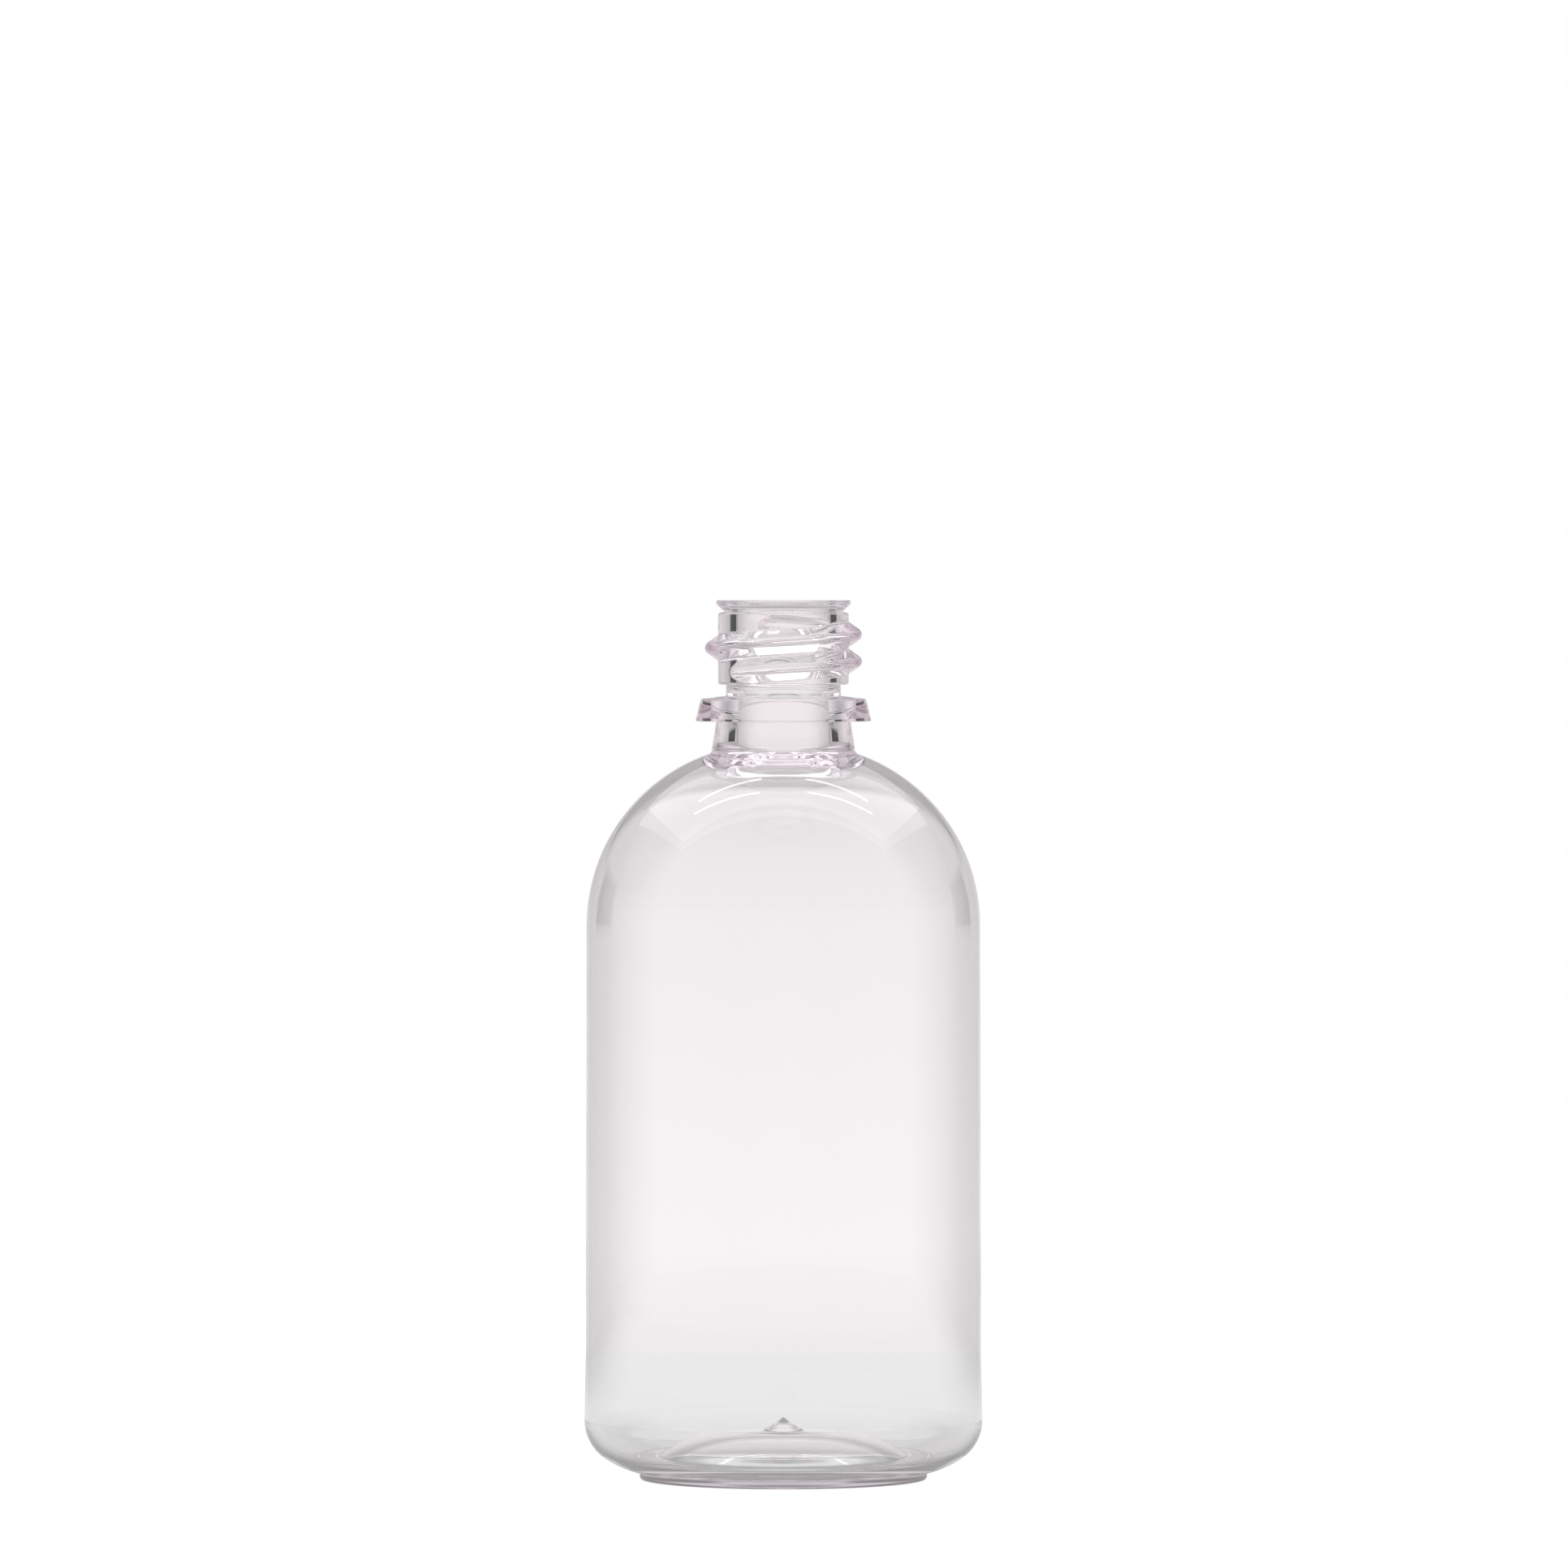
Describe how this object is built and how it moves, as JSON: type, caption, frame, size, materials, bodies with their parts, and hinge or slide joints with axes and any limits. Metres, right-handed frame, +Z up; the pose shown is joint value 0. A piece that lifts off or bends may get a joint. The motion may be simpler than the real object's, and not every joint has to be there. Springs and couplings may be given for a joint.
{
  "type": "plastic medicine bottle",
  "caption": "Round clear plastic medicine bottle with a domed shoulder, a narrow threaded neck with a tamper-band bead, and a pushed-up base; no cap.",
  "frame": {"origin": "on the bottle's axis, in the plane that its standing ring rests on", "axes": "+Z up along the bottle's axis and out of its mouth; +X is where the thread's crest stands 9.5 mm below the top of the lip"},
  "size_m": [0.0616, 0.0616, 0.1359],
  "materials": {
    "clear_pet": "clear, glossy, faintly mauve where thick"
  },
  "bodies": {
    "root": {"bottle": "clear_pet"}
  },
  "joints": []
}
